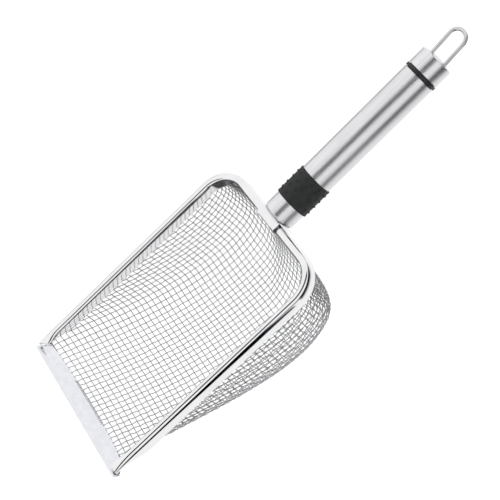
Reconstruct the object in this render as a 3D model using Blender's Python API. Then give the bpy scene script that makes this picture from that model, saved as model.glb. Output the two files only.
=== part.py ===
"""Mesh sand scoop: a woven wire basket in a folded rim, on a hollow tube handle.

Built in the mouth's frame: X runs from the front lip to the handle, Y to the left and Z up. The
lip's front edge is at x = 0 and z = 0, level with the middle of the rim's crown. The empty
"scoop_frame" moves all of it to the part's own frame, whose origin is the middle of the box's
underside.
"""
import math

import bmesh
import bpy
from mathutils import Vector

MM = 0.001

# ---- driving dimensions, in millimetres ----
MOUTH_WIDTH = 125.0          # over the two side rails
SCOOP_LENGTH = 187.0         # lip edge to the rear rail's outer face
DEPTH = 68.0                 # how far the pressed floor falls below the lip's edge
GAP = 0.3                    # clearance between touching pieces

RAIL_WIDTH = 5.5             # folded rim band, outside width
RAIL_CENTRE_Y = 59.45
CROWN_Z = -0.2               # centre of the band's half-round crown
RAIL_DROP = 7.3              # lower edges of the band's two straight sides
BAND = 0.6                   # sheet thickness of the rim band
RAIL_CORNER_R = 20.6         # centre line radius at the two rear corners
RAIL_FRONT_X = 3.0           # the rails stop just behind the lip edge
RAIL_END_DROP = 1.8          # there the band is pressed down over the lip
RAIL_END_CROWN = 1.2
RAIL_PRESS_RUN = 18.0

CORE_R = 1.4                 # stiffening wire inside the rim
CORE_Z = -1.2
CORE_FRONT_X = 22.0

REAR_X = 184.5               # centre line of the rear rail
HALF_SPAN = 59.5             # half width of the pressed cloth at the rim
REAR_REACH = 51.5            # length of the rounded back of the basket
POLE_X = 132.5
CLOTH = 0.4                  # thickness of the solid that stands for the wire cloth
FLOOR_RUN = 147.0            # the floor slopes down over this length
FLOOR_START = 1.0            # depth at the lip edge
FLOOR_CURVE = 1.8
FRONT_ROUND, BACK_ROUND, END_ROUND = 1.6, 5.6, 2.1   # superellipse exponents of the sections
ROUND_RUN = 118.0
CORNER_DIP = 0.55
PLAN_POWER = 6.0

LIP_DEPTH = 10.0
LIP_LEAF = 0.45              # sheet thickness of each leaf of the folded lip
LIP_SLOT = 1.5               # upright gap between the leaves, where the cloth is clamped
LIP_EAR_X = 2.4              # the lip is full width up to here, under the rail ends
LIP_SIDE = 56.0              # half width behind the ears
LIP_WING = 3.9

HANDLE_RISE = math.degrees(math.atan(0.0263))
HANDLE_Z = -2.5
TUBE_R, TUBE_R_REAR, TUBE_WALL = 11.45, 11.75, 0.8
TUBE_START, TUBE_END = 1.6, 129.7
TUBE_FILLET = 2.4
FRONT_WALL = 1.4
SLEEVE_START, SLEEVE_END, SLEEVE_R = 14.7, 37.3, 12.5
FLANGE_R, FLANGE_END = 12.28, 132.6
CAP_R, CAP_END, CAP_RISE, CAP_WALL = 11.88, 145.4, 1.9, 0.9
STUD_R, STUD_END = 2.5, 17.0
LOOP_WIRE_R = 1.3
LOOP_HALF, LOOP_CROWN, LOOP_TIP = 7.25, 6.3, 171.2
LOOP_TILT = math.tan(math.radians(5.5))
LOOP_ENTRY = 146.5
OVERALL_LENGTH = 358.08
SADDLE_HALF = 10.5
SEGMENTS = 36


# ---- scene and mesh helpers ----
def clear_scene():
    for obj in list(bpy.data.objects):
        bpy.data.objects.remove(obj, do_unlink=True)


def material(name, colour, roughness, metallic):
    mat = bpy.data.materials.new(name)
    mat.use_nodes = True
    shader = mat.node_tree.nodes["Principled BSDF"]
    shader.inputs["Base Color"].default_value = (*colour, 1.0)
    shader.inputs["Roughness"].default_value = roughness
    shader.inputs["Metallic"].default_value = metallic
    return mat


def empty(name, location, parent=None, rotation=(0.0, 0.0, 0.0)):
    obj = bpy.data.objects.new(name, None)
    bpy.context.collection.objects.link(obj)
    obj.location = [v * MM for v in location]
    obj.rotation_euler = rotation
    obj.parent = parent
    return obj


def add_object(name, bm, mat, parent, smooth_angle=35.0):
    bmesh.ops.recalc_face_normals(bm, faces=bm.faces)
    mesh = bpy.data.meshes.new(name)
    bm.to_mesh(mesh)
    bm.free()
    mesh.shade_smooth()
    mesh.set_sharp_from_angle(angle=math.radians(smooth_angle))
    if mat:
        mesh.materials.append(mat)
    obj = bpy.data.objects.new(name, mesh)
    bpy.context.collection.objects.link(obj)
    obj.parent = parent
    return obj


def add_ring(bm, points):
    return [bm.verts.new(Vector(p) * MM) for p in points]


def bridge(bm, ring_a, ring_b, closed=True):
    count = len(ring_a)
    for i in range(count if closed else count - 1):
        j = (i + 1) % count
        bm.faces.new((ring_a[i], ring_a[j], ring_b[j], ring_b[i]))


def sweep(sections):
    """A closed body through closed sections, with flat ends."""
    bm = bmesh.new()
    rings = [add_ring(bm, section) for section in sections]
    for ring_a, ring_b in zip(rings, rings[1:]):
        bridge(bm, ring_a, ring_b)
    bm.faces.new(rings[0])
    bm.faces.new(rings[-1])
    bmesh.ops.triangulate(bm, faces=[f for f in bm.faces if len(f.verts) > 4])
    return bm


def turned(profile, segments=SEGMENTS):
    """A ring turned about the X axis from a closed outline of (x, radius) points."""
    bm = bmesh.new()
    rings = []
    for i in range(segments):
        turn = 2 * math.pi * i / segments
        rings.append(add_ring(bm, [(x, r * math.sin(turn), r * math.cos(turn)) for x, r in profile]))
    for i in range(segments):
        bridge(bm, rings[i], rings[(i + 1) % segments])
    return bm


def arc(centre, radius, start, end, steps):
    """Points on an arc in a plane, angles in degrees."""
    points = []
    for i in range(steps + 1):
        angle = math.radians(start + (end - start) * i / steps)
        points.append((centre[0] + radius * math.cos(angle), centre[1] + radius * math.sin(angle)))
    return points


# ---- the basket's pressed surface ----
def floor_depth(x):
    run = min(max(x / FLOOR_RUN, 0.0), 1.0)
    return FLOOR_START + (DEPTH - FLOOR_START) * (1 - (1 - run) ** FLOOR_CURVE)


def section_power(x, heading):
    """Exponent of the wall's section; heading is 0 across the scoop and 90 degrees at its back."""
    side = FRONT_ROUND + (BACK_ROUND - FRONT_ROUND) * min(x / ROUND_RUN, 1.0)
    back = math.sin(heading) ** 2
    return side * (1 - back) + END_ROUND * back - 4 * CORNER_DIP * back * (1 - back)


def wall_half_width(x, depth):
    power = section_power(x, 0.0)
    inside = 1 - (depth / floor_depth(x)) ** power
    return HALF_SPAN * max(inside, 0.0) ** (1 / power)


def depth_at(x, y):
    power = section_power(x, 0.0)
    return floor_depth(x) * max(1 - (abs(y) / HALF_SPAN) ** power, 0.0) ** (1 / power)


def rail_drop(x):
    """The rail's sides end just above the cloth where the cloth comes up to the lip."""
    meets = depth_at(x, RAIL_CENTRE_Y - RAIL_WIDTH / 2 + BAND)
    return min(max(meets - 1.0, RAIL_END_DROP), RAIL_DROP)


def crown_rise(x):
    """Height of the crown above its centre; the band is pressed lower at its front ends."""
    pressed = max(1 - (x - RAIL_FRONT_X) / RAIL_PRESS_RUN, 0.0) ** 2
    return RAIL_WIDTH / 2 + (RAIL_END_CROWN - RAIL_WIDTH / 2) * pressed


def cloth_top(x):
    """Depth at which the cloth's edge stops: inside the rail, or under its pressed end."""
    inside_rail = CORE_R - CORE_Z + CLOTH
    return inside_rail if x > 26.0 else rail_drop(x) + 2 * GAP


# ---- front lip ----
def lip_middle(x, y):
    """Height of the lip's middle plane: a flat nose, then dished to meet the basket floor."""
    run = min(x / LIP_DEPTH, 1.0)
    dish = depth_at(LIP_DEPTH, min(abs(y), HALF_SPAN)) * run
    return -max(dish, min(LIP_WING, 1.0 + 0.97 * x))


def lip_section(share):
    """One cross-section of the folded lip; share runs from -1 at the right to 1 at the left."""
    half_slot = LIP_SLOT / 2
    half_all = half_slot + LIP_LEAF
    top_runs = (LIP_DEPTH, 7.5, 5.0, 3.0, LIP_EAR_X, 0.0)
    slot_runs = (3.0, 5.0, 7.5, LIP_DEPTH)
    outline = [(x, half_all) for x in top_runs]
    outline += [(x, -half_all) for x in reversed(top_runs)]
    outline += [(x, -half_slot) for x in reversed(slot_runs)]
    outline += [(x, half_slot) for x in slot_runs]
    points = []
    for x, offset in outline:
        half_width = MOUTH_WIDTH / 2 if x <= LIP_EAR_X else LIP_SIDE
        y = share * half_width
        points.append((x, y, lip_middle(x, y) + offset))
    return points


def build_front_lip(mat, parent):
    steps = 32
    sections = [lip_section(math.sin(math.radians(-90 + 180 * i / steps))) for i in range(steps + 1)]
    return add_object("front_lip", sweep(sections), mat, parent, 25.0)


# ---- rim ----
def rim_path(front_x):
    """Stations (x, y, inward normal x, inward normal y) from the left front round to the right."""
    straight_end = REAR_X - RAIL_CORNER_R
    close = [front_x + 3.0 * i for i in range(8)]
    count = 4
    far = [close[-1] + (straight_end - close[-1]) * i / count for i in range(1, count + 1)]
    left = [(x, RAIL_CENTRE_Y, 0.0, -1.0) for x in close + far]
    corner_y = RAIL_CENTRE_Y - RAIL_CORNER_R
    for i in range(1, 9):
        angle = math.radians(90 - 90 * i / 8)
        left.append((straight_end + RAIL_CORNER_R * math.cos(angle),
                     corner_y + RAIL_CORNER_R * math.sin(angle), -math.cos(angle), -math.sin(angle)))
    right = [(x, -y, nx, -ny) for x, y, nx, ny in reversed(left)]
    return left + right


def rim_section(x, y, nx, ny):
    """Upside-down U of the band: half-round crown, straight sides, one sheet thick."""
    outer, inner = RAIL_WIDTH / 2, RAIL_WIDTH / 2 - BAND
    drop = rail_drop(x)
    squash = crown_rise(x) / outer
    outline = [(-outer, -drop)]
    outline += [(px, CROWN_Z + pz * squash) for px, pz in arc((0, 0), outer, 180, 0, 8)]
    outline += [(outer, -drop), (inner, -drop)]
    outline += [(px, CROWN_Z + pz * (crown_rise(x) - BAND) / inner)
                for px, pz in arc((0, 0), inner, 0, 180, 6)]
    outline.append((-inner, -drop))
    return [(x + nx * off, y + ny * off, z) for off, z in outline]


def build_rim_channel(mat, parent):
    sections = [rim_section(*station) for station in rim_path(RAIL_FRONT_X)]
    return add_object("rim_channel", sweep(sections), mat, parent)


def build_rim_core(mat, parent):
    sections = []
    for x, y, nx, ny in rim_path(CORE_FRONT_X):
        sections.append([(x + nx * off, y + ny * off, z)
                         for off, z in arc((0, CORE_Z), CORE_R, 0, 315, 7)])
    return add_object("rim_core_wire", sweep(sections), mat, parent)


# ---- wire cloth ----
def cloth_section(x, steps):
    """Half-section from the left edge down to the middle of the floor at one x."""
    power, floor, top = section_power(x, 0.0), floor_depth(x), cloth_top(x)
    first = math.asin((top / floor) ** (power / 2))
    points = []
    for i in range(steps + 1):
        angle = first + (math.pi / 2 - first) * (i / steps) ** 0.9
        points.append((x, HALF_SPAN * max(math.cos(angle), 0.0) ** (2 / power),
                       -floor * math.sin(angle) ** (2 / power)))
    return points


def cloth_fan_section(heading, steps):
    """Section from the rear edge down to the pole of the rounded back."""
    power = section_power(POLE_X, heading)
    spread = (math.cos(heading) ** PLAN_POWER + math.sin(heading) ** PLAN_POWER) ** (1 / PLAN_POWER)
    first = math.asin((cloth_top(REAR_X) / DEPTH) ** (power / 2))
    points = []
    for i in range(steps):
        angle = first + (math.pi / 2 - first) * (i / steps) ** 0.9
        reach = max(math.cos(angle), 0.0) ** (2 / power) / spread
        x = POLE_X + REAR_REACH * reach * math.sin(heading)
        points.append((x, HALF_SPAN * reach * math.cos(heading),
                       -floor_depth(x) * math.sin(angle) ** (2 / power)))
    points.append((POLE_X, 0.0, -floor_depth(POLE_X)))
    return points


def fan_headings(per_corner):
    """Headings from the left side round the back to the right, close together at the corners."""
    headings = []
    for corner in (0.25 * math.pi, 0.75 * math.pi):
        for i in range(per_corner + 1):
            share = 2 * i / per_corner - 1
            headings.append(corner + math.copysign(abs(share) ** 1.6, share) * 0.25 * math.pi)
    headings.pop(per_corner)
    return headings


def lip_cloth_section(x, steps):
    """The cloth's front hem, clamped between the lip's leaves."""
    rear = cloth_section(LIP_DEPTH, steps)
    points = []
    for _, y, _ in rear:
        side = y * min((LIP_SIDE - 1.0) / rear[0][1], 1.0)
        points.append((x, side, lip_middle(x, side)))
    return points


def build_basket(mat, parent):
    steps = 9
    stations = [13.0, 16.0, 19.0, 22.0, 30.0, 40.0, 54.0, 70.0, 88.0, 106.0, 120.0]
    halves = [lip_cloth_section(x, steps) for x in (4.2, 7.5, LIP_DEPTH + 0.2)]
    halves += [cloth_section(x, steps) for x in stations]
    bm = bmesh.new()
    rows = []
    for half in halves:
        mirrored = [(x, -y, z) for x, y, z in reversed(half[:-1])]
        rows.append(add_ring(bm, half + mirrored))
    pole = bm.verts.new(Vector((POLE_X, 0.0, -floor_depth(POLE_X))) * MM)
    spokes = [add_ring(bm, cloth_fan_section(heading, steps)[:-1]) for heading in fan_headings(10)]
    rows.append(spokes[0] + [pole] + list(reversed(spokes[-1])))
    for row_a, row_b in zip(rows, rows[1:]):
        bridge(bm, row_a, row_b, closed=False)
    for spoke_a, spoke_b in zip(spokes, spokes[1:]):
        bridge(bm, spoke_a, spoke_b, closed=False)
        bm.faces.new((spoke_a[-1], spoke_b[-1], pole))
    bmesh.ops.triangulate(bm, faces=bm.faces)
    obj = add_object("mesh_basket", bm, mat, parent)
    skin = obj.modifiers.new("cloth thickness", "SOLIDIFY")
    skin.thickness = CLOTH * MM
    skin.offset = 0.0
    return obj


# ---- neck ----
def build_saddle(mat, parent):
    """A strip folded over the rear rail, with a long tab that backs the handle's end."""
    plate = 0.6
    inner = RAIL_WIDTH / 2 + GAP
    outer = inner + plate
    front_foot, rear_foot = -6.5, -13.0
    round_out, round_in = 2.0, 1.4
    inner_top = CROWN_Z + RAIL_WIDTH / 2 + GAP
    outer_top = inner_top + plate
    outline = [(-outer, front_foot)]
    outline += arc((-outer + round_out, outer_top - round_out), round_out, 180, 90, 4)
    outline += arc((outer - round_out, outer_top - round_out), round_out, 90, 0, 4)
    outline += [(outer, rear_foot), (inner, rear_foot)]
    outline += arc((inner - round_in, inner_top - round_in), round_in, 0, 90, 3)
    outline += arc((-inner + round_in, inner_top - round_in), round_in, 90, 180, 3)
    outline.append((-inner, front_foot))
    sections = [[(REAR_X + off, y, z) for off, z in outline]
                for y in (SADDLE_HALF, SADDLE_HALF / 2, 0.0, -SADDLE_HALF / 2, -SADDLE_HALF)]
    return add_object("neck_saddle", sweep(sections), mat, parent)


def rod_profile(start, end, radius, chamfer=0.4, bore=0.0):
    outline = [(start, radius - chamfer), (start + chamfer, radius), (end - chamfer, radius),
               (end, radius - chamfer)]
    return outline + [(end, bore), (start, bore)]


def solid_rod(start, end, radius, segments=20):
    bm = bmesh.new()
    rings = []
    for x, r in rod_profile(start, end, radius)[:4]:
        rings.append(add_ring(bm, [(x, r * math.sin(2 * math.pi * i / segments),
                                    r * math.cos(2 * math.pi * i / segments)) for i in range(segments)]))
    for ring_a, ring_b in zip(rings, rings[1:]):
        bridge(bm, ring_a, ring_b)
    bm.faces.new(rings[0])
    bm.faces.new(rings[-1])
    return bm


def build_neck_fastening(steel, parent):
    wall_end = TUBE_START + FRONT_WALL
    add_object("neck_stud", solid_rod(TUBE_START + GAP, STUD_END, STUD_R), steel, parent)
    washer_start = wall_end + GAP
    washer_end = washer_start + 1.2
    washer = turned(rod_profile(washer_start, washer_end, 7.0, 0.2, STUD_R + GAP), 24)
    add_object("stud_washer", washer, steel, parent)
    nut_start = washer_end + GAP
    add_object("stud_nut", hex_nut(nut_start, nut_start + 4.0, 8.0, STUD_R + GAP), steel, parent)


def hex_nut(start, end, across_flats, bore):
    """A hexagon with a round bore; every fourth point of the outline is a corner."""
    count = 24
    hexagon, hole = [], []
    for i in range(count):
        turn = 2 * math.pi * i / count
        from_flat = turn % (math.pi / 3) - math.pi / 6
        radius = across_flats / 2 / math.cos(from_flat)
        hexagon.append((radius * math.sin(turn), radius * math.cos(turn)))
        hole.append((bore * math.sin(turn), bore * math.cos(turn)))
    bm = bmesh.new()
    rings = [add_ring(bm, [(x, y, z) for y, z in outline])
             for x, outline in ((start, hexagon), (end, hexagon), (end, hole), (start, hole))]
    for i in range(4):
        bridge(bm, rings[i], rings[(i + 1) % 4])
    return bm


# ---- handle ----
def build_tube(mat, parent):
    outside = [(TUBE_START, STUD_R + GAP)]
    outside += arc((TUBE_START + TUBE_FILLET, TUBE_R - TUBE_FILLET), TUBE_FILLET, 180, 90, 5)
    outside.append((TUBE_END, TUBE_R_REAR))
    inside = [(TUBE_END, TUBE_R_REAR - TUBE_WALL), (TUBE_START + 3.4, TUBE_R - TUBE_WALL),
              (TUBE_START + FRONT_WALL, TUBE_R - 2.6), (TUBE_START + FRONT_WALL, STUD_R + GAP)]
    return add_object("handle_tube", turned(outside + inside), mat, parent)


def build_sleeve(mat, parent):
    bore = TUBE_R + 0.1 + GAP
    soft = 0.5
    outline = [(SLEEVE_START, bore), (SLEEVE_START, SLEEVE_R - soft), (SLEEVE_START + soft, SLEEVE_R),
               (SLEEVE_END - soft, SLEEVE_R), (SLEEVE_END, SLEEVE_R - soft), (SLEEVE_END, bore)]
    return add_object("rubber_sleeve", turned(outline), mat, parent)


def build_end_plug(mat, parent):
    """Plastic plug: its flange shows as the dark ring, its spigots fill the tube and the cap."""
    flange_start = TUBE_END + GAP
    flange_end = FLANGE_END - GAP
    tube_spigot = TUBE_R_REAR - TUBE_WALL - GAP
    cap_spigot = CAP_R - CAP_WALL - GAP
    outline = [(flange_start - 12.0, tube_spigot - 0.6), (flange_start - 11.0, tube_spigot),
               (flange_start, tube_spigot), (flange_start, FLANGE_R), (flange_end, FLANGE_R),
               (flange_end, cap_spigot), (flange_end + 4.0, cap_spigot), (flange_end + 4.0, 8.4),
               (flange_start - 12.0, 8.4)]
    return add_object("end_plug", turned(outline), mat, parent)


def build_end_cap(mat, parent):
    dome_r = (CAP_R ** 2 + CAP_RISE ** 2) / (2 * CAP_RISE)
    spread = math.degrees(math.asin(CAP_R / dome_r))
    inner_r = CAP_R - CAP_WALL
    apex = CAP_END + CAP_RISE
    bm = bmesh.new()
    rings = []
    outer = arc((apex - dome_r, 0), dome_r, spread, 0, 5)
    inner = [(x - CAP_WALL, r * inner_r / CAP_R) for x, r in reversed(outer)]
    profile = [(FLANGE_END, inner_r), (FLANGE_END, CAP_R - 0.2), (FLANGE_END + 0.2, CAP_R)]
    profile += outer[:-1]
    for x, r in profile:
        rings.append(add_ring(bm, circle_points(x, r)))
    tip = bm.verts.new(Vector((apex, 0, 0)) * MM)
    inner_rings = [add_ring(bm, circle_points(x, r)) for x, r in inner[1:]]
    inner_tip = bm.verts.new(Vector((apex - CAP_WALL, 0, 0)) * MM)
    for ring_a, ring_b in zip(rings, rings[1:]):
        bridge(bm, ring_a, ring_b)
    for ring_a, ring_b in zip(inner_rings, inner_rings[1:]):
        bridge(bm, ring_a, ring_b)
    bridge(bm, inner_rings[-1], rings[0])
    for ring, point in ((rings[-1], tip), (inner_rings[0], inner_tip)):
        for i in range(SEGMENTS):
            bm.faces.new((ring[i], ring[(i + 1) % SEGMENTS], point))
    cap = add_object("end_cap", bm, mat, parent)
    for side, name in ((1, "left"), (-1, "right")):
        cutter = solid_rod(LOOP_ENTRY - 6.0, LOOP_ENTRY + 6.0, LOOP_WIRE_R + GAP, 16)
        hole = add_object("leg_hole_" + name, cutter, None, parent)
        hole.location = (0.0, side * LOOP_HALF * MM, 0.0)
        hole.hide_render = True
        hole.display_type = "WIRE"
        cut = cap.modifiers.new("leg hole " + name, "BOOLEAN")
        cut.operation = "DIFFERENCE"
        cut.solver = "EXACT"
        cut.object = hole
    return cap


def circle_points(x, radius):
    return [(x, radius * math.sin(2 * math.pi * i / SEGMENTS),
             radius * math.cos(2 * math.pi * i / SEGMENTS)) for i in range(SEGMENTS)]


def loop_centre_line():
    """Bent wire: two turned-out feet inside the cap, two legs, and a flattened crown."""
    foot_x, foot_out = 139.6, 1.9
    crown_x = LOOP_TIP - LOOP_WIRE_R - LOOP_CROWN
    half = [(foot_x, LOOP_HALF + foot_out)]
    half += [(foot_x, LOOP_HALF + 1.2), (foot_x + 0.4, LOOP_HALF + 0.4), (foot_x + 1.2, LOOP_HALF)]
    half += [(LOOP_ENTRY, LOOP_HALF), ((LOOP_ENTRY + crown_x) / 2, LOOP_HALF)]
    crown_steps = 14
    crown = []
    for i in range(crown_steps + 1):
        angle = math.pi / 2 - math.pi * i / crown_steps
        crown.append((crown_x + LOOP_CROWN * math.cos(angle), LOOP_HALF * math.sin(angle)))
    points = half + crown + [(x, -y) for x, y in reversed(half)]
    return [Vector((x, y, max(x - LOOP_ENTRY, 0.0) * LOOP_TILT)) for x, y in points]


def build_loop(mat, parent):
    line = loop_centre_line()
    sides = 10
    sections = []
    for i, point in enumerate(line):
        ahead = line[min(i + 1, len(line) - 1)]
        behind = line[max(i - 1, 0)]
        tangent = (ahead - behind).normalized()
        up = Vector((0, 0, 1))
        across = tangent.cross(up).normalized()
        lift = across.cross(tangent)
        sections.append([point + LOOP_WIRE_R * (math.cos(2 * math.pi * k / sides) * across +
                                                math.sin(2 * math.pi * k / sides) * lift)
                         for k in range(sides)])
    return add_object("hanging_loop", sweep(sections), mat, parent)


def main():
    clear_scene()
    frame = empty("scoop_frame", (-OVERALL_LENGTH / 2, 0.0, 0.0))
    axis = empty("handle_axis", (SCOOP_LENGTH, 0.0, HANDLE_Z), frame,
                 (0.0, -math.radians(HANDLE_RISE), 0.0))
    polished = material("polished_steel", (0.78, 0.78, 0.79), 0.12, 1.0)
    brushed = material("brushed_steel", (0.72, 0.72, 0.74), 0.3, 1.0)
    sheet = material("satin_steel_sheet", (0.80, 0.81, 0.85), 0.4, 1.0)
    wire = material("steel_wire_cloth", (0.45, 0.45, 0.47), 0.3, 1.0)
    zinc = material("zinc_plated_steel", (0.62, 0.63, 0.65), 0.4, 1.0)
    rubber = material("black_rubber", (0.02, 0.02, 0.02), 0.6, 0.0)
    plastic = material("black_plastic", (0.03, 0.03, 0.03), 0.4, 0.0)
    build_front_lip(sheet, frame)
    build_rim_channel(polished, frame)
    build_rim_core(zinc, frame)
    basket = build_basket(wire, frame)
    deepest = max(-vertex.co.z for vertex in basket.data.vertices)
    frame.location.z = deepest + CLOTH / 2 * MM
    build_saddle(polished, frame)
    build_neck_fastening(zinc, axis)
    build_tube(brushed, axis)
    build_sleeve(rubber, axis)
    build_end_plug(plastic, axis)
    build_end_cap(brushed, axis)
    build_loop(polished, axis)


main()
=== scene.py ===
"""Looks of the mesh sand scoop: real woven wires, a folded rim and lip, and a satin handle.

Shapes are written in millimetres in two frames that part.py also uses. The mouth's frame has
X from the front lip to the handle, Y to the left and Z up, with the lip's edge at x = 0. The
handle's frame starts at the rear rail and runs along the tube. MOUTH and HANDLE carry both to
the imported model's own frame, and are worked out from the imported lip.
"""
import math

import bmesh
import bpy
import numpy as np
from mathutils import Matrix, Vector


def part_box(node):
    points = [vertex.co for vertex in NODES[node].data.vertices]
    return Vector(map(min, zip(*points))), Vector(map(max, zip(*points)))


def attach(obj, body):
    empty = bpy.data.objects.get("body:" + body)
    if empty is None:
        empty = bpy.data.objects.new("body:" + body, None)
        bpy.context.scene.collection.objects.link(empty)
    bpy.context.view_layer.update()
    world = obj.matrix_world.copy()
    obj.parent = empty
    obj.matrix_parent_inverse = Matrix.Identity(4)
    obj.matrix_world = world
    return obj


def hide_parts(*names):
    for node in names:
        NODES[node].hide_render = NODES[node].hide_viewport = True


MM = 0.001
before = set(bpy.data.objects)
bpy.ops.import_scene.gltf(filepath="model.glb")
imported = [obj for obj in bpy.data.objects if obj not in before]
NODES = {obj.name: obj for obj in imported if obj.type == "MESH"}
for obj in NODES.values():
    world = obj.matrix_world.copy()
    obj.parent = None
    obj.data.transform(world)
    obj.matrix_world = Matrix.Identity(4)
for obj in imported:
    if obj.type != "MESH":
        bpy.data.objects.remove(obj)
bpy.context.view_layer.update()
LIP_LOW, LIP_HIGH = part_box("front_lip")

# ---- driving dimensions, in millimetres, as in part.py except where a comment says otherwise ----
MOUTH_WIDTH = 125.0
SCOOP_LENGTH = 187.0
RAIL_WIDTH = 5.5
RAIL_CENTRE_Y = 59.45
CROWN_Z = -0.2
RAIL_DROP = 7.3
BAND = 0.6
RAIL_CORNER_R = 20.6
RAIL_FRONT_X = 3.0
RAIL_END_DROP, RAIL_END_CROWN, RAIL_PRESS_RUN = 1.8, 1.2, 18.0
CLOTH_EDGE_COVER = 1.0       # near the lip the band's sides stop this far above the cloth
REAR_X = 184.5
HALF_SPAN, REAR_REACH, POLE_X, PLAN_POWER = 59.5, 51.5, 132.5, 6.0
FLOOR_RUN, FLOOR_START, FLOOR_CURVE, DEPTH = 147.0, 1.0, 1.8, 68.0
FRONT_ROUND, BACK_ROUND, END_ROUND, ROUND_RUN, CORNER_DIP = 1.6, 5.6, 2.1, 118.0, 0.55
LEAST_ROUND = 1.2            # no section's exponent falls below this
LIP_DEPTH, LIP_LEAF = 10.0, 0.45
LIP_HALF = 1.2               # half of the folded lip's thickness
LIP_START_DROP, LIP_FALL, LIP_WING = 1.0, 0.97, 3.9   # drop at its edge, slope, level at the wings
LIP_SIDE = 59.0              # half width under the rails; 56 in part.py
LIP_EAR_X = 2.4              # up to here the lip is as wide as the mouth
LIP_WIRE_SIDE = 56.0         # no wire enters the lip's slot further out than this
LIP_TOP = 0.2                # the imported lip's highest point, above the mouth's plane
HANDLE_SLOPE, HANDLE_Z = 0.0263, -2.5
TUBE_R, TUBE_R_REAR, TUBE_WALL = 11.45, 11.75, 0.8
TUBE_START, TUBE_END, TUBE_FILLET, FRONT_WALL = 1.6, 129.7, 2.4, 1.4
STUD_HOLE_R = 2.8            # the neck stud's hole in the tube's closed front end
SLEEVE_START, SLEEVE_END, SLEEVE_R = 14.7, 37.3, 12.5
FLANGE_R, FLANGE_END = 12.28, 132.6
CAP_R, CAP_END, CAP_RISE, CAP_WALL = 11.88, 145.4, 1.9, 0.9
LOOP_WIRE_R, LOOP_HALF, LOOP_CROWN, LOOP_TIP, LOOP_ENTRY = 1.3, 7.25, 6.3, 171.2, 146.5
LOOP_TILT = math.tan(math.radians(5.5))
GAP = 0.3                    # clearance between touching pieces
SADDLE_HALF, SADDLE_PLATE = 10.5, 0.6
SADDLE_FLARE = 1.0           # the strip's two ends stand this far off the rim; none in part.py
SADDLE_FLARE_RUN = 3.5       # they lift over this length
SADDLE_EDGE = 0.18           # width of its rounded edges

# ---- wire cloth ----
PITCH = 4.25                 # between wires, as woven
WIRE_R = 0.29
CRIMP = 0.36                 # how far a wire swings each side of the cloth's middle
WIRE_SIDES, WIRE_STEPS = 6, 4
ROWS, COLUMNS = 66, 38
SLOT_STEPS = 4.6, 6.4, 8.2   # places along a wire's hidden tail inside the lip

MOUTH = Matrix.Translation((LIP_LOW.x, 0.0, LIP_HIGH.z - LIP_TOP * MM))
HANDLE = (MOUTH @ Matrix.Translation((SCOOP_LENGTH * MM, 0.0, HANDLE_Z * MM))
          @ Matrix.Rotation(-math.atan(HANDLE_SLOPE), 4, "Y"))


# ---- mesh helpers ----
def piece(name, bm, mat, stands_for, place=MOUTH, smooth_angle=40.0):
    """A finished piece from a mesh in millimetres in one of the two frames."""
    bmesh.ops.recalc_face_normals(bm, faces=bm.faces)
    bmesh.ops.transform(bm, matrix=place @ Matrix.Scale(MM, 4), verts=bm.verts)
    mesh = bpy.data.meshes.new(name)
    bm.to_mesh(mesh)
    bm.free()
    mesh.shade_smooth()
    mesh.set_sharp_from_angle(angle=math.radians(smooth_angle))
    mesh.materials.append(mat)
    obj = bpy.data.objects.new(name, mesh)
    bpy.context.scene.collection.objects.link(obj)
    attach(obj, "root")
    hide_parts(stands_for)
    return obj


def ring(bm, points):
    return [bm.verts.new(p) for p in points]


def bridge(bm, ring_a, ring_b):
    """A closed band of quads between two rings of as many vertices."""
    count = len(ring_a)
    for i in range(count):
        j = (i + 1) % count
        bm.faces.new((ring_a[i], ring_a[j], ring_b[j], ring_b[i]))


def sweep(sections):
    """A solid through the closed sections, with flat ends."""
    bm = bmesh.new()
    rings = [ring(bm, section) for section in sections]
    for ring_a, ring_b in zip(rings, rings[1:]):
        bridge(bm, ring_a, ring_b)
    ends = [bm.faces.new(rings[0]), bm.faces.new(rings[-1])]
    bmesh.ops.triangulate(bm, faces=ends)
    return bm


TURNED_SIDES = 128


def turned(profile):
    """A solid turned about the X axis from a closed outline of (x, radius) points."""
    bm = bmesh.new()
    rings = []
    for i in range(TURNED_SIDES):
        turn = 2 * math.pi * i / TURNED_SIDES
        rings.append(ring(bm, [(x, r * math.sin(turn), r * math.cos(turn)) for x, r in profile]))
    for i in range(TURNED_SIDES):
        bridge(bm, rings[i], rings[(i + 1) % TURNED_SIDES])
    bmesh.ops.remove_doubles(bm, verts=bm.verts, dist=1e-4)
    return bm


def arc(centre, radius, start, end, steps):
    """Points on a circle, from the start angle to the end angle in degrees."""
    points = []
    for i in range(steps + 1):
        angle = math.radians(start + (end - start) * i / steps)
        points.append((centre[0] + radius * math.cos(angle), centre[1] + radius * math.sin(angle)))
    return points


def fade(x, start, run):
    """1 up to start, then smoothly down to 0 over the run."""
    share = min(max((x - start) / run, 0.0), 1.0)
    return 1 - share * share * (3 - 2 * share)


# ---- the basket's pressed surface ----
def floor_depth(x):
    """Depth of the basket's middle line, which slopes down from the lip."""
    run = min(max(x / FLOOR_RUN, 0.0), 1.0)
    return FLOOR_START + (DEPTH - FLOOR_START) * (1 - (1 - run) ** FLOOR_CURVE)


def side_round(x):
    """The cross section's exponent: shallow and rounded at the lip, nearly square at the back."""
    return FRONT_ROUND + (BACK_ROUND - FRONT_ROUND) * min(max(x / ROUND_RUN, 0.0), 1.0)


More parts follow.
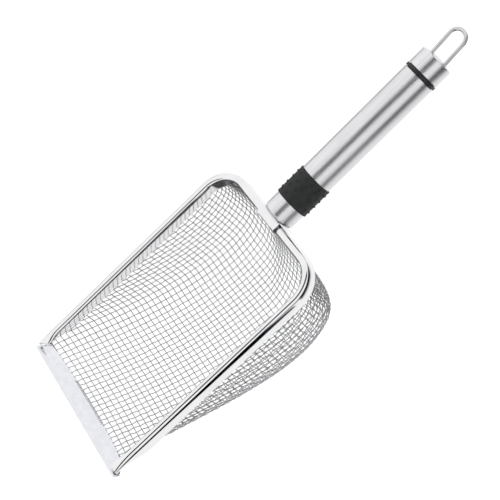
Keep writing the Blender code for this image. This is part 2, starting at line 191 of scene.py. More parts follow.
def surface(point):
    """Zero on the cloth's middle surface, negative inside the basket."""
    x, y, z = point
    across = abs(y) / HALF_SPAN
    back = max(x - POLE_X, 0.0) / REAR_REACH
    edge = (across ** PLAN_POWER + back ** PLAN_POWER) ** (1 / PLAN_POWER)
    share = back * back / (across * across + back * back + 1e-12)
    blend = side_round(x) * (1 - share) + END_ROUND * share
    power = max(blend - 4 * CORNER_DIP * share * (1 - share), LEAST_ROUND)
    below = max(-z / floor_depth(x), 0.0)
    return (edge ** power + below ** power) ** (1 / power) - 1


def slope(point):
    """The surface function's gradient, by central differences."""
    step = 1e-4
    gradient = np.zeros(3)
    for i in range(3):
        move = np.zeros(3)
        move[i] = step
        gradient[i] = (surface(point + move) - surface(point - move)) / (2 * step)
    return gradient


def depth_at(x, y):
    """How far the cloth lies below the mouth's plane, ahead of its rounded back."""
    power = side_round(x)
    return floor_depth(x) * max(1 - (abs(y) / HALF_SPAN) ** power, 0.0) ** (1 / power)


def rail_drop(x):
    """How far the band's sides reach down: less near the lip, where the cloth is shallow."""
    meets = depth_at(x, RAIL_CENTRE_Y - RAIL_WIDTH / 2 + BAND)
    return min(max(meets - CLOTH_EDGE_COVER, RAIL_END_DROP), RAIL_DROP)


def crown_rise(x):
    """The crown's height over its centre: a half circle, pressed flat near the lip."""
    pressed = max(1 - (x - RAIL_FRONT_X) / RAIL_PRESS_RUN, 0.0) ** 2
    return RAIL_WIDTH / 2 + (RAIL_END_CROWN - RAIL_WIDTH / 2) * pressed


def lip_middle(x, y):
    """Height of the lip's middle plane: it slopes down to meet the dished cloth behind it."""
    run = min(x / LIP_DEPTH, 1.0)
    dish = depth_at(LIP_DEPTH, min(abs(y), HALF_SPAN)) * run
    return -max(dish, min(LIP_WING, LIP_START_DROP + LIP_FALL * x))


# ---- the wire cloth, draped as an inextensible net ----
NEWTON_STEPS, RESIDUAL_LIMIT, LONGEST_STEP = 60, 1e-4, 1.5
SURFACE_WEIGHT = 60.0        # brings the surface function's residual to about millimetres
FOLDED_SHARE = 0.2           # a cell with a diagonal under this share of a pitch has folded up
WIRE_END_SHARE = 0.5         # wires end at this share of the height of the band's sides


def on_surface(point):
    return surface(point) * SURFACE_WEIGHT, slope(point) * SURFACE_WEIGHT


def at_pitch(knot):
    """The condition that a point lies one pitch from the knot."""
    def condition(point):
        gap = point - knot
        return (gap @ gap - PITCH * PITCH) / PITCH, 2 * gap / PITCH
    return condition


def in_plane(normal, offset):
    """The condition that a point lies in a plane."""
    def condition(point):
        return normal @ point - offset, normal
    return condition


def settle(point, condition_a, condition_b):
    """Newton's method for the point of the surface that meets two conditions, or None."""
    for _ in range(NEWTON_STEPS):
        rows = condition_a(point), condition_b(point), on_surface(point)
        residual = np.array([value for value, _ in rows])
        if np.abs(residual).max() < RESIDUAL_LIMIT:
            return point
        try:
            step = np.linalg.solve(np.vstack([gradient for _, gradient in rows]), -residual)
        except np.linalg.LinAlgError:
            return None
        point = point + step * min(LONGEST_STEP / np.linalg.norm(step), 1.0)
    return None


def edge_knots(first, ahead, count, plane):
    """Knots a pitch apart along the line where the surface meets a plane."""
    line = [first]
    while len(line) < count:
        point = settle(line[-1] + ahead, at_pitch(line[-1]), plane)
        if point is None:
            break
        ahead = point - line[-1]
        line.append(point)
    return line


def drape_net():
    """Where the wires cross: every cell keeps four equal sides while the net follows the surface."""
    knots = np.full((ROWS, COLUMNS, 3), np.nan)
    first = np.array([LIP_DEPTH, 0.0, -floor_depth(LIP_DEPTH)])
    forward, left = np.array([1.0, 0.0, 0.0]), np.array([0.0, 1.0, 0.0])
    across = edge_knots(first, left * PITCH, COLUMNS, in_plane(forward, LIP_DEPTH))
    along = edge_knots(first, np.array([PITCH, 0.0, -1.0]), ROWS, in_plane(left, 0.0))
    knots[0, :len(across)] = across
    knots[:len(along), 0] = along
    for i in range(1, ROWS):
        for k in range(1, COLUMNS):
            knot_a, knot_b, opposite = knots[i - 1, k], knots[i, k - 1], knots[i - 1, k - 1]
            if np.isnan(knot_a).any() or np.isnan(knot_b).any():
                continue
            point = settle(knot_a + knot_b - opposite, at_pitch(knot_a), at_pitch(knot_b))
            if point is not None and np.linalg.norm(point - opposite) > FOLDED_SHARE * PITCH:
                knots[i, k] = point
    mirrored = knots[:, :0:-1] * (1.0, -1.0, 1.0)
    return np.concatenate([mirrored, knots], axis=1)


def inside_rim(point):
    """True where a wire has run up into the rim band."""
    return point[2] > -WIRE_END_SHARE * rail_drop(point[0])


def cloth_normal(point):
    gradient = slope(point)
    return gradient / np.linalg.norm(gradient)


def wire_runs(knots):
    """Crimped centre lines along the rows of a grid of knots, cut where they enter the rim."""
    runs = []
    for row, line in enumerate(knots):
        runs.append([])
        for column in range(len(line) - 1):
            start, end = line[column], line[column + 1]
            if np.isnan(start).any() or np.isnan(end).any():
                continue
            normal_a, normal_b = cloth_normal(start), cloth_normal(end)
            side = CRIMP * (-1) ** (row + column)
            for step in range(WIRE_STEPS):
                share = step / WIRE_STEPS
                middle = start + (end - start) * share
                if inside_rim(middle):
                    runs.append([])
                    continue
                normal = normal_a + (normal_b - normal_a) * share
                runs[-1].append((middle + normal * side * math.cos(math.pi * share), normal))
    return [run for run in runs if len(run) > 2]


def lip_tail(run):
    """Carries a lengthwise wire on from the cloth's first row into the slot of the lip."""
    point, normal = run[0]
    y = min(max(point[1], -LIP_WIRE_SIDE), LIP_WIRE_SIDE)
    return [(np.array([x, y, lip_middle(x, y)]), normal) for x in SLOT_STEPS] + run


def wire_mesh(runs):
    """Round wires along the centre lines, as one mesh."""
    bm = bmesh.new()
    turns = [2 * math.pi * k / WIRE_SIDES for k in range(WIRE_SIDES)]
    for run in runs:
        points = np.array([p for p, _ in run])
        tangents = np.gradient(points, axis=0)
        rings = []
        for point, tangent, (_, normal) in zip(points, tangents, run):
            across = np.cross(tangent, normal)
            across /= np.linalg.norm(across)
            lift = np.cross(across, tangent)
            lift /= np.linalg.norm(lift)
            rings.append(ring(bm, [point + WIRE_R * (math.cos(t) * across + math.sin(t) * lift)
                                   for t in turns]))
        for ring_a, ring_b in zip(rings, rings[1:]):
            bridge(bm, ring_a, ring_b)
        bm.faces.new(rings[0])
        bm.faces.new(rings[-1])
    return bm


def starts_at_lip(run):
    return run[0][0][0] < LIP_DEPTH + 0.5


def build_wire_cloth(mat):
    """The wires of both directions; the first cross wire is left out, as the lip's edge hides it."""
    knots = drape_net()
    lengthwise = wire_runs(knots.transpose(1, 0, 2))
    lengthwise = [lip_tail(run) if starts_at_lip(run) else run for run in lengthwise]
    crosswise = wire_runs(knots[1:])
    for name, runs in (("basket_wires_lengthwise", lengthwise), ("basket_wires_crosswise", crosswise)):
        piece(name, wire_mesh(runs), mat, "mesh_basket", smooth_angle=80.0)


# ---- folded lip ----
def lip_half_width(x):
    """The lip's ears reach the full width; behind them it narrows along the rail's slanted end."""
    full = MOUTH_WIDTH / 2
    return min(full, max(LIP_SIDE, full - (x - LIP_EAR_X)))


def lip_outline():
    """(x, height above the middle plane) of the two leaves, joined round the nose."""
    nose, nose_run, taper_run, nose_steps = 0.95, 1.5, 4.0, 14
    outer_runs = (LIP_DEPTH, 8.8, 7.4, 6.0, 4.8, 3.8, 3.1, 2.7, LIP_EAR_X, 1.9)
    upper = [(x, LIP_HALF - (LIP_HALF - nose) * max(1 - x / taper_run, 0.0)) for x in outer_runs]
    turns = [math.pi * i / nose_steps for i in range(nose_steps + 1)]
    slot = LIP_HALF - LIP_LEAF
    inner_runs = (3.0, 5.0, 7.5, LIP_DEPTH)
    outline = upper + [(nose_run * (1 - math.sin(a)), nose * math.cos(a)) for a in turns]
    outline += [(x, -height) for x, height in reversed(upper)]
    outline += [(x, -slot) for x in reversed(inner_runs)]
    outline += [(x, slot) for x in inner_runs]
    return outline


def build_lip(mat):
    """The lip's outline carried across the mouth, with closer sections near its two ends."""
    steps = 96
    outline = lip_outline()
    sections = []
    for i in range(steps + 1):
        share = math.sin(math.radians(-90 + 180 * i / steps))
        section = []
        for x, height in outline:
            y = share * lip_half_width(x)
            section.append((x, y, lip_middle(x, y) + height))
        sections.append(section)
    piece("folded_lip", sweep(sections), mat, "front_lip", smooth_angle=50.0)


# ---- rim band ----
# at its front end the band is cut back by the slant times its width, and splays in by the flare
LEFT_END = {"slant": 1.0, "flare": 1.0}
RIGHT_END = {"slant": 0.1, "flare": 2.4}


def rim_stations():
    """(x, y, inward normal x and y) from the left front end round to the right one."""
    front_count, front_step, far_count, corner_count = 14, 1.5, 36, 24
    straight_end = REAR_X - RAIL_CORNER_R
    front = [RAIL_FRONT_X + front_step * i for i in range(front_count)]
    far_run = straight_end - front[-1]
    far = [front[-1] + far_run * i / far_count for i in range(1, far_count + 1)]
    left = [(x, RAIL_CENTRE_Y, 0.0, -1.0) for x in front + far]
    corner_y = RAIL_CENTRE_Y - RAIL_CORNER_R
    for i in range(1, corner_count + 1):
        angle = math.radians(90 - 90 * i / corner_count)
        left.append((straight_end + RAIL_CORNER_R * math.cos(angle),
                     corner_y + RAIL_CORNER_R * math.sin(angle), -math.cos(angle), -math.sin(angle)))
    right = [(x, -y, nx, -ny) for x, y, nx, ny in reversed(left)]
    return left + right


def rim_section(x, y, nx, ny):
    """Upside-down U of sheet with rounded hems; near the lip it is pressed flat and cut askew."""
    end = LEFT_END if y > 0 else RIGHT_END
    near = fade(x, RAIL_FRONT_X, RAIL_PRESS_RUN) if abs(ny) == 1.0 else 0.0
    outer, hem = RAIL_WIDTH / 2, BAND / 2
    inner = outer - BAND
    drop = rail_drop(x)
    rise = crown_rise(x)
    outline = arc((-outer + hem, -drop), hem, 270, 180, 3)
    outline += [(px, CROWN_Z + pz * rise / outer) for px, pz in arc((0, 0), outer, 180, 0, 18)]
    outline += arc((outer - hem, -drop), hem, 0, -90, 3)
    outline += [(px, CROWN_Z + pz * (rise - BAND) / inner) for px, pz in arc((0, 0), inner, 0, 180, 12)]
    points = []
    for off, z in outline:
        inward = max(off + outer, 0.0) / RAIL_WIDTH
        off += end["flare"] * near * inward ** 2
        slant = end["slant"] * near * inward * (RAIL_WIDTH + end["flare"])
        points.append((x + slant + nx * off, y + ny * off, z))
    return points


def build_rim(mat):
    sections = [rim_section(*station) for station in rim_stations()]
    piece("rim_band", sweep(sections), mat, "rim_channel", smooth_angle=50.0)


# ---- neck saddle ----
def build_saddle(mat):
    """A strip folded over the rear rail; its two ends stand off the rim a little."""
    inner = RAIL_WIDTH / 2 + GAP
    outer = inner + SADDLE_PLATE
    front_foot, rear_foot, round_out, round_in = -6.5, -13.0, 2.0, 1.4
    inner_top = CROWN_Z + RAIL_WIDTH / 2 + GAP
    outer_top = inner_top + SADDLE_PLATE
    outline = [(-outer, front_foot)]
    outline += arc((-outer + round_out, outer_top - round_out), round_out, 180, 90, 10)
    outline += arc((outer - round_out, outer_top - round_out), round_out, 90, 0, 10)
    outline += [(outer, rear_foot), (inner, rear_foot)]
    outline += arc((inner - round_in, inner_top - round_in), round_in, 0, 90, 8)
    outline += arc((-inner + round_in, inner_top - round_in), round_in, 90, 180, 8)
    outline.append((-inner, front_foot))
    count = 24
    sections = []
    for i in range(count + 1):
        y = SADDLE_HALF * (1 - 2 * i / count)
        lift = SADDLE_FLARE * (1 - fade(abs(y), SADDLE_HALF - SADDLE_FLARE_RUN, SADDLE_FLARE_RUN))
        spread = 1 + lift / (2 * outer)
        sections.append([(REAR_X + off * spread, y, z + lift) for off, z in outline])
    saddle = piece("neck_strip", sweep(sections), mat, "neck_saddle")
    edge = saddle.modifiers.new("rounded edges", "BEVEL")
    edge.width = SADDLE_EDGE * MM
    edge.segments = 3
    edge.limit_method = "ANGLE"
    edge.angle_limit = math.radians(40)


# ---- handle ----
def build_tube(mat):
    """A hollow tube, a little wider to the rear, with a rounded and closed front end."""
    flat_r, shoulder_run, rear_edge = 6.0, 3.0, 0.3
    inside_x = TUBE_START + FRONT_WALL
    inside_r = TUBE_R - TUBE_WALL
    corner_run, corner_rise = 2.0, 1.8
    rounded = TUBE_START + TUBE_FILLET
    outside = [(TUBE_START, STUD_HOLE_R), (TUBE_START, flat_r)]
    outside += arc((rounded, TUBE_R - TUBE_FILLET), TUBE_FILLET, 180, 90, 14)
    outside += [(rounded + shoulder_run, TUBE_R), (TUBE_END - rear_edge, TUBE_R_REAR),
                (TUBE_END, TUBE_R_REAR - rear_edge)]
    inside = [(TUBE_END, TUBE_R_REAR - TUBE_WALL), (inside_x + corner_run, inside_r),
              (inside_x, inside_r - corner_rise), (inside_x, STUD_HOLE_R)]
    piece("satin_tube", turned(outside + inside), mat, "handle_tube", HANDLE, 30.0)


NUB_ROWS = 4                 # rings of nubs along the sleeve
NUBS_ROUND, NUB_SIDES = 12, 12
NUB_R, NUB_RISE = 0.85, 0.65
NUB_MARGIN = 1.6             # from the sleeve's end to the band of nubs
NUB_PROFILE = ((1.15 * NUB_R, -0.25), (NUB_R, 0.0), (0.85 * NUB_R, 0.55 * NUB_RISE),
               (0.5 * NUB_R, 0.9 * NUB_RISE))        # radius and height of its rings
SLEEVE_BODY_R = 12.3         # between the two end beads
BEAD_RUN, BEAD_EDGE = 1.5, 1.1
TUBE_SWELL = 0.1             # the tube is this much wider under the sleeve than at its front


def build_sleeve(mat):
    """A moulded sleeve with a bead at each end and staggered rings of small round nubs."""
    bore = TUBE_R + TUBE_SWELL + GAP
    soft = 0.45
    outline = [(SLEEVE_START, bore)]
    outline += arc((SLEEVE_START + soft, SLEEVE_R - soft), soft, 180, 90, 4)
    outline += [(SLEEVE_START + BEAD_EDGE, SLEEVE_R), (SLEEVE_START + BEAD_RUN, SLEEVE_BODY_R),
                (SLEEVE_END - BEAD_RUN, SLEEVE_BODY_R), (SLEEVE_END - BEAD_EDGE, SLEEVE_R)]
    outline += arc((SLEEVE_END - soft, SLEEVE_R - soft), soft, 90, 0, 4)
    outline.append((SLEEVE_END, bore))
    bm = turned(outline)
    pitch = (SLEEVE_END - SLEEVE_START - 2 * NUB_MARGIN) / NUB_ROWS
    for row in range(NUB_ROWS):
        x = SLEEVE_START + NUB_MARGIN + pitch * (row + 0.5)
        for k in range(NUBS_ROUND):
            turn = 2 * math.pi * (k + 0.5 * (row % 2)) / NUBS_ROUND
            add_nub(bm, x, turn)
    piece("rubber_grip", bm, mat, "rubber_sleeve", HANDLE, 60.0)


def add_nub(bm, x, turn):
    """A low dome, sunk a little into the sleeve."""
    out = Vector((0.0, math.sin(turn), math.cos(turn)))
    round_way = Vector((0.0, math.cos(turn), -math.sin(turn)))
    along = Vector((1.0, 0.0, 0.0))
    centre = out * SLEEVE_BODY_R + along * x
    angles = [2 * math.pi * i / NUB_SIDES for i in range(NUB_SIDES)]
    spokes = [math.cos(angle) * along + math.sin(angle) * round_way for angle in angles]
    rings = [ring(bm, [centre + out * height + radius * spoke for spoke in spokes])
             for radius, height in NUB_PROFILE]
    for ring_a, ring_b in zip(rings, rings[1:]):
        bridge(bm, ring_a, ring_b)
    tip = bm.verts.new(centre + out * NUB_RISE)
    for i in range(NUB_SIDES):
        bm.faces.new((rings[-1][i], rings[-1][(i + 1) % NUB_SIDES], tip))
    bm.faces.new(rings[0])


def build_ring(mat):
    """The plug's flange: the dark ring between the tube and the cap."""
    start, end, soft = TUBE_END + GAP, FLANGE_END - GAP, 0.35
    tube_spigot = TUBE_R_REAR - TUBE_WALL - GAP
    cap_spigot = CAP_R - CAP_WALL - GAP
    bore, lead_run, lead_rise = 8.4, 1.0, 0.6
    front, rear = start - 12.0, end + 4.0
    outline = [(front, tube_spigot - lead_rise), (front + lead_run, tube_spigot), (start, tube_spigot)]
    outline += arc((start + soft, FLANGE_R - soft), soft, 180, 90, 4)
    outline += arc((end - soft, FLANGE_R - soft), soft, 90, 0, 4)
    outline += [(end, cap_spigot), (rear, cap_spigot), (rear, bore), (front, bore)]
    piece("dark_ring", turned(outline), mat, "end_plug", HANDLE)


def build_cap(mat):
    """Spun cap with a low domed end and two holes for the loop's legs."""
    dome_r = (CAP_R ** 2 + CAP_RISE ** 2) / (2 * CAP_RISE)
    spread = math.degrees(math.asin(CAP_R / dome_r))
    inner_r = CAP_R - CAP_WALL
    apex = CAP_END + CAP_RISE
    dome = arc((apex - dome_r, 0), dome_r, spread, 0, 16)
    soft, front_edge = 0.3, 0.25
    outline = [(FLANGE_END, inner_r), (FLANGE_END, CAP_R - front_edge),
               (FLANGE_END + front_edge, CAP_R)]
    outline += arc((CAP_END - soft, CAP_R - soft), soft, 90, 30, 4)
    outline += dome[1:-1] + [(apex, 0.0), (apex - CAP_WALL, 0.0)]
    outline += [(x - CAP_WALL, r * inner_r / CAP_R) for x, r in reversed(dome[:-1])]
    cap = piece("domed_cap", turned(outline), mat, "end_cap", HANDLE, 30.0)
    for side in (1, -1):
        drill_leg_hole(cap, side * LOOP_HALF)


def drill_leg_hole(cap, y):
    """Cuts a round hole through the cap's end, along the handle."""
    radius, sides, reach = LOOP_WIRE_R + GAP, 32, 6.0
    sections = []
    for x in (LOOP_ENTRY - reach, LOOP_ENTRY + reach):
        sections.append([(x, y + radius * math.cos(2 * math.pi * i / sides),
                          radius * math.sin(2 * math.pi * i / sides)) for i in range(sides)])
    bm = sweep(sections)
    bmesh.ops.recalc_face_normals(bm, faces=bm.faces)
    bmesh.ops.transform(bm, matrix=HANDLE @ Matrix.Scale(MM, 4), verts=bm.verts)
    mesh = bpy.data.meshes.new("drill")
    bm.to_mesh(mesh)
    bm.free()
    drill = bpy.data.objects.new("drill", mesh)
    bpy.context.scene.collection.objects.link(drill)
    cut = cap.modifiers.new("leg hole", "BOOLEAN")
    cut.operation = "DIFFERENCE"
    cut.solver = "EXACT"
    cut.object = drill
    with bpy.context.temp_override(object=cap, active_object=cap):
        bpy.ops.object.modifier_apply(modifier=cut.name)
    bpy.data.objects.remove(drill)


def build_loop(mat):
    """Bent wire: feet turned out inside the cap, two legs and a round crown."""
    foot_x, foot_out, bend = 139.6, 1.9, 1.2
    bend_turns = (0.4, 0.8, 1.2)
    leg_steps, crown_steps, sides = 12, 32, 20
    crown_x = LOOP_TIP - LOOP_WIRE_R - LOOP_CROWN
    leg_x = foot_x + bend
    half = [(foot_x, LOOP_HALF + foot_out), (foot_x, LOOP_HALF + bend)]
    half += [(foot_x + bend * (1 - math.cos(a)), LOOP_HALF + bend * (1 - math.sin(a)))
             for a in bend_turns]
    half += [(leg_x + (crown_x - leg_x) * i / leg_steps, LOOP_HALF) for i in range(leg_steps)]
    crown = []
    for i in range(crown_steps + 1):
        angle = math.pi / 2 - math.pi * i / crown_steps
        crown.append((crown_x + LOOP_CROWN * math.cos(angle), LOOP_HALF * math.sin(angle)))
    line = half + crown + [(x, -y) for x, y in reversed(half)]
    line = [Vector((x, y, max(x - LOOP_ENTRY, 0.0) * LOOP_TILT)) for x, y in line]
    turns = [2 * math.pi * k / sides for k in range(sides)]
    sections = []
    for i, point in enumerate(line):
        tangent = (line[min(i + 1, len(line) - 1)] - line[max(i - 1, 0)]).normalized()
        across = tangent.cross(Vector((0, 0, 1))).normalized()
        lift = across.cross(tangent)
        sections.append([point + LOOP_WIRE_R * (math.cos(turn) * across + math.sin(turn) * lift)
                         for turn in turns])
    piece("wire_loop", sweep(sections), mat, "hanging_loop", HANDLE)


# ---- materials ----
RELIEF = 0.00005             # height in metres of the metals' surface relief


class Nodes:
    """A few short calls for building one material's node tree."""

    def __init__(self, name):
        self.mat = bpy.data.materials.new(name)
        self.mat.use_nodes = True
        self.tree = self.mat.node_tree
        self.shader = self.tree.nodes["Principled BSDF"]

    def add(self, kind, **inputs):
        """A new node with its inputs set by name; an underscore stands for a space."""
        node = self.tree.nodes.new(kind)
        for key, value in inputs.items():
            node.inputs[key.replace("_", " ")].default_value = value
        return node

    def link(self, output, target):
        self.tree.links.new(output, target)

    def noise(self, scale, stretch=(1.0, 1.0, 1.0), detail=3.0):
        """Noise in the object's own space; stretch below 1 draws it out along that axis."""
        place = self.add("ShaderNodeMapping", Scale=stretch)
        coords = self.add("ShaderNodeTexCoord")
        self.link(coords.outputs["Object"], place.inputs["Vector"])
        noise = self.add("ShaderNodeTexNoise", Scale=scale, Detail=detail)
        self.link(place.outputs["Vector"], noise.inputs["Vector"])
        return noise.outputs["Fac"]

    def ramp(self, value, low, high):
        """Maps noise to a range of numbers or, with triples, of colours."""
        node = self.add("ShaderNodeValToRGB")
        for element, place, level in zip(node.color_ramp.elements, (0.3, 0.7), (low, high)):
            element.position = place
            element.color = (*level, 1.0) if isinstance(level, tuple) else (level, level, level, 1.0)
        self.link(value, node.inputs["Fac"])
        return node.outputs["Color"]

    def bump(self, height, strength, distance):
        node = self.add("ShaderNodeBump", Strength=strength, Distance=distance)
        self.link(height, node.inputs["Height"])
        self.link(node.outputs["Normal"], self.shader.inputs["Normal"])

    def colour(self, output):
        self.link(output, self.shader.inputs["Base Color"])

    def roughness(self, output):
        self.link(output, self.shader.inputs["Roughness"])


def metal(name, tones, polish, scale, stretch=(1.0, 1.0, 1.0), bump=0.05):
    """Bare metal whose tone and roughness vary with one noise, over a fine surface relief."""
    nodes = Nodes(name)
    nodes.shader.inputs["Metallic"].default_value = 1.0
    grain = nodes.noise(scale, stretch, 4.0)
    nodes.colour(nodes.ramp(grain, *tones))
    nodes.roughness(nodes.ramp(grain, *polish))
    nodes.bump(grain, bump, RELIEF)
    return nodes.mat


def polished_steel():
    """Bright and nearly mirror-like, for the rim band and the neck strip."""
    return metal("polished_steel", ((0.84, 0.84, 0.85), (0.90, 0.90, 0.91)), (0.05, 0.10), 60.0)


def lip_sheet():
    """Duller, slightly bluish rolled sheet."""
    return metal("lip_sheet_steel", ((0.78, 0.79, 0.83), (0.86, 0.87, 0.91)), (0.16, 0.26), 220.0)


def satin_steel():
    """Brushed along the handle, so the noise is drawn out along X."""
    return metal("satin_steel", ((0.70, 0.70, 0.72), (0.86, 0.86, 0.88)), (0.30, 0.36), 1100.0,
                 stretch=(0.02, 1.0, 1.0), bump=0.02)


def wire_steel_painted_shade():
    """Drawn wire; its tone is set well below the sheet's, painted shade that makes the thin wires look
    dim.
    """
    return metal("wire_steel_painted_shade", ((0.38, 0.38, 0.40), (0.54, 0.54, 0.56)), (0.08, 0.14), 150.0)


# Painted shade: a darker copy of the polished steel, so the hanging loop looks darker overall, as dark
# reflections would make it.
def polished_wire():
    return metal("polished_wire", ((0.62, 0.62, 0.63), (0.74, 0.74, 0.75)), (0.05, 0.09), 90.0)


def zinc_plate():
    """Dull plating for the stiffening wire and the fixings."""
    return metal("zinc_steel", ((0.55, 0.56, 0.58), (0.66, 0.67, 0.69)), (0.35, 0.5), 700.0)


def grip_rubber():
    """Black rubber with a fine moulded grain and a little dust."""
    nodes = Nodes("grip_rubber")
    nodes.shader.inputs["Specular IOR Level"].default_value = 0.35
    dust = nodes.noise(260.0, detail=5.0)
    nodes.colour(nodes.ramp(dust, (0.010, 0.011, 0.011), (0.026, 0.027, 0.028)))
    nodes.roughness(nodes.ramp(dust, 0.5, 0.72))
    nodes.bump(nodes.noise(1800.0), 0.3, 0.00008)
    return nodes.mat


def ring_plastic():
    """Black moulded plastic, smoother than the rubber."""
    nodes = Nodes("ring_plastic")
    mottle = nodes.noise(500.0)
    nodes.colour(nodes.ramp(mottle, (0.006, 0.006, 0.007), (0.013, 0.013, 0.014)))
    nodes.roughness(nodes.ramp(mottle, 0.38, 0.5))
    nodes.bump(nodes.noise(2500.0), 0.15, 0.00004)
    return nodes.mat


# ---- studio ----
# the photograph's viewpoint, in the mouth's frame, solved from the rim's outline
CAMERA_PLACE = Vector((300.21 * MM, -597.10 * MM, 759.21 * MM))
CAMERA_RIGHT = Vector((0.71694, -0.48056, -0.50503))
CAMERA_UP = Vector((0.68239, 0.63197, 0.36737))
SENSOR, LENS = 36.0, 107.55
BACKDROP = 1.05              # brightness of the floor and of the sky behind the object
FLOOR_SIZE, FLOOR_GAP = 12.0, 0.0005


def build_camera():
    """Squares up the two measured directions and places the camera."""
    back = CAMERA_RIGHT.cross(CAMERA_UP).normalized()
    up = back.cross(CAMERA_RIGHT).normalized()
    turn = Matrix((CAMERA_RIGHT.normalized(), up, back)).transposed().to_4x4()
    camera = bpy.data.objects.new("camera", bpy.data.cameras.new("camera"))
    camera.data.sensor_width = SENSOR
    camera.data.lens = LENS
    camera.data.clip_start, camera.data.clip_end = 0.05, 50.0
    camera.matrix_world = Matrix.Translation(MOUTH @ CAMERA_PLACE) @ turn
    bpy.context.scene.collection.objects.link(camera)
    bpy.context.scene.camera = camera


def level_card(name, size_x, size_y, location, mat):
    """A level rectangle of the studio, in metres."""
    mesh = bpy.data.meshes.new(name)
    x, y = size_x / 2, size_y / 2
    mesh.from_pydata([(-x, -y, 0), (x, -y, 0), (x, y, 0), (-x, y, 0)], [], [(0, 1, 2, 3)])
    mesh.materials.append(mat)
    card = bpy.data.objects.new(name, mesh)
    card.location = location
    bpy.context.scene.collection.objects.link(card)
    return card


def glow(name, level):
    """A plain grey light of the given brightness; black at level 0."""
    mat = bpy.data.materials.new(name)
    mat.use_nodes = True
    tree = mat.node_tree
    tree.nodes.clear()
    emission = tree.nodes.new("ShaderNodeEmission")
    emission.inputs["Color"].default_value = (level, level, level, 1.0)
    output = tree.nodes.new("ShaderNodeOutputMaterial")
    tree.links.new(emission.outputs["Emission"], output.inputs["Surface"])
    return mat


def build_floor():
    """A lit white floor without visible shadows; reflections see the sky's belts instead of it."""
    white = glow("floor_white", BACKDROP)
    floor = level_card("floor", FLOOR_SIZE, FLOOR_SIZE, (0.0, 0.0, -FLOOR_GAP), white)
    floor.visible_glossy = False


def seen_in_reflections(card):
    """Leaves a card to glossy rays only."""
    card.visible_camera = False
    card.visible_diffuse = False
    card.visible_shadow = False
    card.visible_transmission = False


OVERHEAD_SIZE, OVERHEAD_PLACE = (1.6, 0.23), Vector((0.1, -0.185, 0.375))
FLAG_Y = -0.45               # metres from the mouth's middle to the side flags
RIM_FLAG = [(-0.20, -0.40), (-0.20, -0.14), (-0.06, 0.02), (0.075, 0.17), (0.075, -0.55),
            (-0.06, -0.50)]
LOOP_FLAG = [(0.27, -0.26), (0.27, 0.02), (0.42, 0.02), (0.42, -0.26)]


def side_flag(name, corners, mat):
    """An upright flag at the scoop's right, from (x, z) corners in metres in the mouth's frame."""
    mesh = bpy.data.meshes.new(name)
    points = [MOUTH @ Vector((x, FLAG_Y, z)) for x, z in corners]
    mesh.from_pydata(points, [], [tuple(range(len(points)))])
    mesh.materials.append(mat)
    flag = bpy.data.objects.new(name, mesh)
    bpy.context.scene.collection.objects.link(flag)
    seen_in_reflections(flag)


def build_flags():
    """Black flags that only the polished metal sees."""
    black = glow("flag_black", 0.0)
    overhead = level_card("flag_overhead", *OVERHEAD_SIZE, MOUTH @ OVERHEAD_PLACE, black)
    seen_in_reflections(overhead)
    side_flag("flag_beside_rim", RIM_FLAG, black)
    side_flag("flag_beside_loop", LOOP_FLAG, black)


# the sky's brightness at heights from -1 (straight down) to 1 (straight up), by direction
BELT_NEAR = [(-1.0, 1.0), (-0.56, 1.0), (-0.46, 0.5), (-0.34, 0.17), (-0.06, 0.17), (0.03, 0.6),
             (0.12, 1.0)]
BELT_FAR = [(-1.0, 1.0), (-0.72, 1.0), (-0.58, 0.40), (-0.12, 0.40), (0.0, 1.0)]
BELT_FRONT = [(-1.0, 1.0), (-0.92, 1.0), (-0.86, 0.02), (-0.05, 0.02), (0.04, 1.0)]
BELT_BACK = [(-1.0, 1.0), (-0.82, 1.0), (-0.76, 0.01), (-0.02, 0.01), (0.10, 1.0)]
NEAR_TO_FAR, BACK_TO_WHITE = (-0.25, -0.05), (0.0, 0.35)        # where belts change along Y
FRONT_TO_SIDES, SIDES_TO_BACK = (-0.42, -0.34), (0.02, 0.15)    # and along X


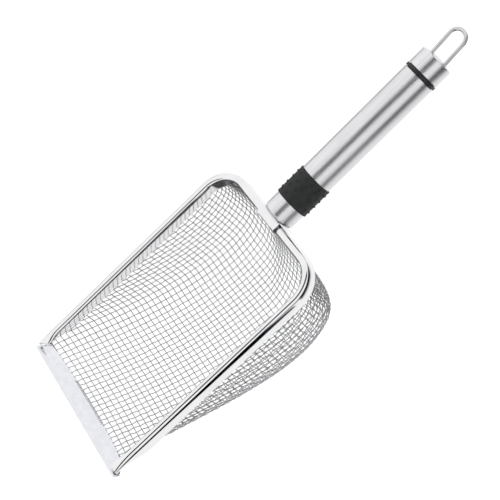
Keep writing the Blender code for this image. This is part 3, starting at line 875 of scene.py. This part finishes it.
class Sky:
    """Short calls for the world's node tree."""

    def __init__(self):
        world = bpy.data.worlds.new("studio")
        bpy.context.scene.world = world
        world.use_nodes = True
        self.tree = world.node_tree

    def link(self, output, target):
        self.tree.links.new(output, target)

    def belt(self, height, stops):
        """Brightness against the height of the direction looked in, from -1 to 1."""
        lift = self.tree.nodes.new("ShaderNodeMapRange")
        lift.inputs["From Min"].default_value = -1.0
        self.link(height, lift.inputs["Value"])
        ramp = self.tree.nodes.new("ShaderNodeValToRGB")
        elements = ramp.color_ramp.elements
        while len(elements) < len(stops):
            elements.new(0.5)
        for element, (place, level) in zip(elements, stops):
            element.position = (place + 1) / 2
            element.color = (level, level, level, 1.0)
        self.link(lift.outputs["Result"], ramp.inputs["Fac"])
        return ramp.outputs["Color"]

    def switch(self, value, start, end):
        """0 where the value is below start, 1 above end, and a straight line between."""
        step = self.tree.nodes.new("ShaderNodeMapRange")
        step.inputs["From Min"].default_value = start
        step.inputs["From Max"].default_value = end
        self.link(value, step.inputs["Value"])
        return step.outputs["Result"]

    def mix(self, share, colour_a, colour_b):
        """The first colour where share is 0 and the second where it is 1."""
        node = self.tree.nodes.new("ShaderNodeMixRGB")
        self.link(share, node.inputs["Fac"])
        for colour, name in ((colour_a, "Color1"), (colour_b, "Color2")):
            if isinstance(colour, float):
                node.inputs[name].default_value = (colour, colour, colour, 1.0)
            else:
                self.link(colour, node.inputs[name])
        return node.outputs["Color"]


def build_world():
    """White all round, with grey and black belts below the horizon that only reflections show."""
    sky = Sky()
    coords = sky.tree.nodes.new("ShaderNodeTexCoord")
    split = sky.tree.nodes.new("ShaderNodeSeparateXYZ")
    sky.link(coords.outputs["Generated"], split.inputs["Vector"])
    x, y, z = (split.outputs[axis] for axis in "XYZ")
    sides = sky.mix(sky.switch(y, *NEAR_TO_FAR), sky.belt(z, BELT_NEAR), sky.belt(z, BELT_FAR))
    back = sky.mix(sky.switch(y, *BACK_TO_WHITE), sky.belt(z, BELT_BACK), 1.0)
    ahead = sky.mix(sky.switch(x, *FRONT_TO_SIDES), sky.belt(z, BELT_FRONT), sides)
    reflected = sky.mix(sky.switch(x, *SIDES_TO_BACK), ahead, back)
    path = sky.tree.nodes.new("ShaderNodeLightPath")
    seen = sky.mix(path.outputs["Is Camera Ray"], reflected, BACKDROP)
    sky.link(seen, sky.tree.nodes["Background"].inputs["Color"])


CARRIED_OVER = ("rim_core_wire", "neck_stud", "stud_washer", "stud_nut")


def dress_carried_over(mat):
    """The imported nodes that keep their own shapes, with a finish."""
    for name in CARRIED_OVER:
        NODES[name].data.materials.clear()
        NODES[name].data.materials.append(mat)


def main():
    build_camera()
    polished, satin = polished_steel(), satin_steel()
    build_wire_cloth(wire_steel_painted_shade())
    build_lip(lip_sheet())
    build_rim(polished)
    build_saddle(polished)
    build_tube(satin)
    build_sleeve(grip_rubber())
    build_ring(ring_plastic())
    build_cap(satin)
    build_loop(polished_wire())
    dress_carried_over(zinc_plate())
    build_floor()
    build_flags()
    build_world()
    bpy.context.scene.view_settings.view_transform = "Standard"


main()
bpy.context.view_layer.update()
